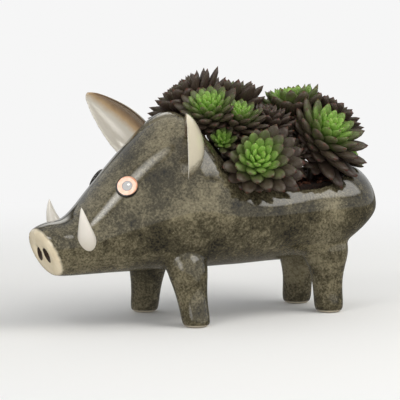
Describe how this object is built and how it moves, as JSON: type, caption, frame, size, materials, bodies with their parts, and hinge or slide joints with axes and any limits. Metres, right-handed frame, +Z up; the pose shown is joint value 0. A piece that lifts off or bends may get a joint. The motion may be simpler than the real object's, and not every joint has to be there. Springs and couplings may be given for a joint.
{
  "type": "animal planter",
  "caption": "Glazed stoneware boar planter on four legs, hollow with an oval mouth in its back, planted with a clump of succulent rosettes.",
  "frame": {"origin": "on the standing plane, under the middle of the planter's length and width", "axes": "+Z up, -X the way the boar looks, -Y its left flank"},
  "size_m": [0.2617, 0.1526, 0.1649],
  "materials": {
    "grey_glaze": "gloss",
    "ear_glaze": "gloss",
    "white_glaze": "gloss",
    "eye_glaze": "gloss",
    "potting_mix": "matte",
    "leaf": "satin"
  },
  "bodies": {
    "pot": {"body_casting": "grey_glaze", "left_ear": "ear_glaze", "right_ear": "ear_glaze", "left_tusk": "white_glaze", "right_tusk": "white_glaze", "left_eye": "eye_glaze", "right_eye": "eye_glaze", "tail": "grey_glaze"},
    "planting": {"root_ball": "potting_mix", "rosette_front": "leaf", "rosette_nape": "leaf", "rosette_far_nape": "leaf", "rosette_top": "leaf", "rosette_middle": "leaf", "rosette_small_front": "leaf", "rosette_brown": "leaf", "rosette_rear": "leaf", "rosette_far_rear": "leaf", "rosette_end": "leaf", "rosette_small_rear": "leaf", "rosette_low_side": "leaf", "rosette_far_side": "leaf"}
  },
  "joints": [
    {"name": "planting_lift", "type": "slide", "parent": "pot", "child": "planting", "axis": [0, 0, 1], "range_m": [0, 0.15]}
  ]
}
